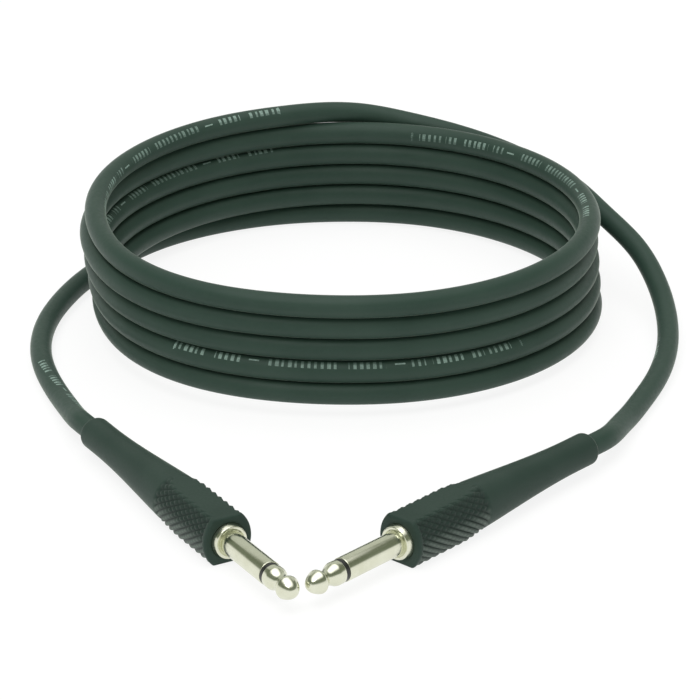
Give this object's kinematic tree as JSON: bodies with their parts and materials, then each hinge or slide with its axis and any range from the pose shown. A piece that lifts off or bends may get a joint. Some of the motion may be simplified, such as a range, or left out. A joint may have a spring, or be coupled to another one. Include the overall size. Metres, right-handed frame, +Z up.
{
  "type": "instrument cable",
  "caption": "Coiled audio instrument cable with a moulded, knurled quarter-inch jack plug on each end.",
  "frame": {"origin": "middle of the two plugs on the plane that they lie on, in front of the coil", "axes": "+X to the right across the two plugs, +Y from the plugs towards the coil, +Z up from the surface"},
  "size_m": [0.1779, 0.2604, 0.0376],
  "materials": {
    "jacket": "matte, smooth extruded jacket",
    "grip_rubber": "matte moulded rubber with a diamond knurl",
    "nickel": "bright nickel plate with a warm tint",
    "black_insulator": "satin",
    "ivory_insulator": "satin",
    "tinned_lug": "stamped and tinned",
    "inner_mould": "matte",
    "dielectric": "satin",
    "copper": "stranded, bright",
    "solder": "smooth"
  },
  "bodies": {
    "root": {"cable_coil": "jacket", "cable_lead_left": "jacket", "cable_lead_right": "jacket", "left_tip": "nickel", "left_tip_insulator": "black_insulator", "left_core_insulator": "ivory_insulator", "left_sleeve": "nickel", "left_collar": "nickel", "left_ground_lug": "tinned_lug", "left_tip_lug": "tinned_lug", "left_inner_mould": "inner_mould", "left_handle": "grip_rubber", "left_cable_end": "jacket", "left_dielectric": "dielectric", "left_conductor": "copper", "left_screen_tail": "copper", "left_solder": "solder", "right_tip": "nickel", "right_tip_insulator": "black_insulator", "right_core_insulator": "ivory_insulator", "right_sleeve": "nickel", "right_collar": "nickel", "right_ground_lug": "tinned_lug", "right_tip_lug": "tinned_lug", "right_inner_mould": "inner_mould", "right_handle": "grip_rubber", "right_cable_end": "jacket", "right_dielectric": "dielectric", "right_conductor": "copper", "right_screen_tail": "copper", "right_solder": "solder"}
  },
  "joints": []
}
